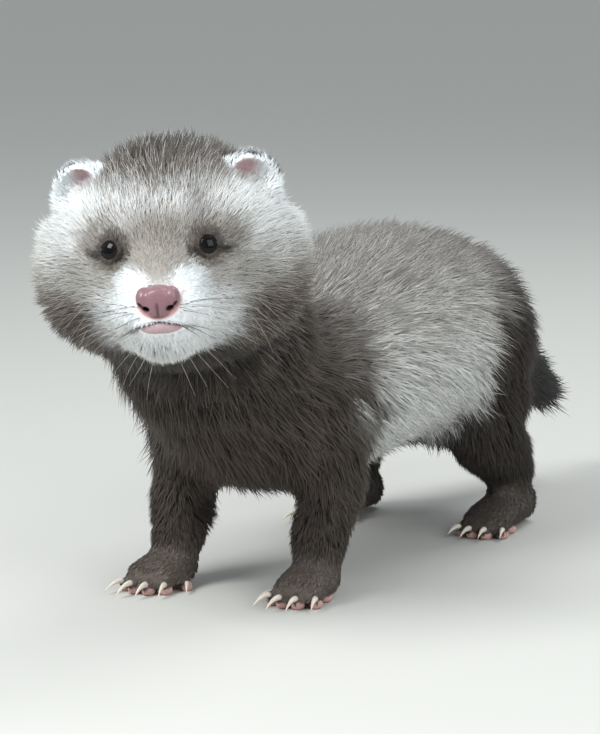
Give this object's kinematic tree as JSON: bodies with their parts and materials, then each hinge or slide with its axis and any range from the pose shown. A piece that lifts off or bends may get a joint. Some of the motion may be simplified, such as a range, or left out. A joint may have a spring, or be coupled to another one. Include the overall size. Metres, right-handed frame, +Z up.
{
  "type": "ferret",
  "caption": "Life-size still model of a young sable ferret standing on four feet, head raised and turned towards the viewer.",
  "frame": {"origin": "on the floor, under the middle of the animal's bounding box", "axes": "+Z up, the animal stands facing -Y with its tail towards +Y, its left side is +X"},
  "size_m": [0.0866, 0.3558, 0.1429],
  "materials": {
    "sable_fur": "soft dark brown fur with pale guard hairs",
    "cream_fur": "cream undercoat with brown-tipped guard hairs",
    "face_fur": "short white to grey-brown face fur",
    "ear_fur": "white velvet rims over pink skin",
    "nose_skin": "moist pink nose leather",
    "eye": "wet black-brown eye"
  },
  "bodies": {
    "root": {"head": "face_fur", "neck": "sable_fur", "torso": "cream_fur", "tail": "sable_fur", "foreleg_left": "sable_fur", "foreleg_right": "sable_fur", "forepaw_left": "sable_fur", "forepaw_right": "sable_fur", "hindleg_left": "sable_fur", "hindleg_right": "sable_fur", "hindpaw_left": "sable_fur", "hindpaw_right": "sable_fur", "ear_left": "ear_fur", "ear_right": "ear_fur", "nose": "nose_skin", "eye_left": "eye", "eye_right": "eye"}
  },
  "joints": []
}
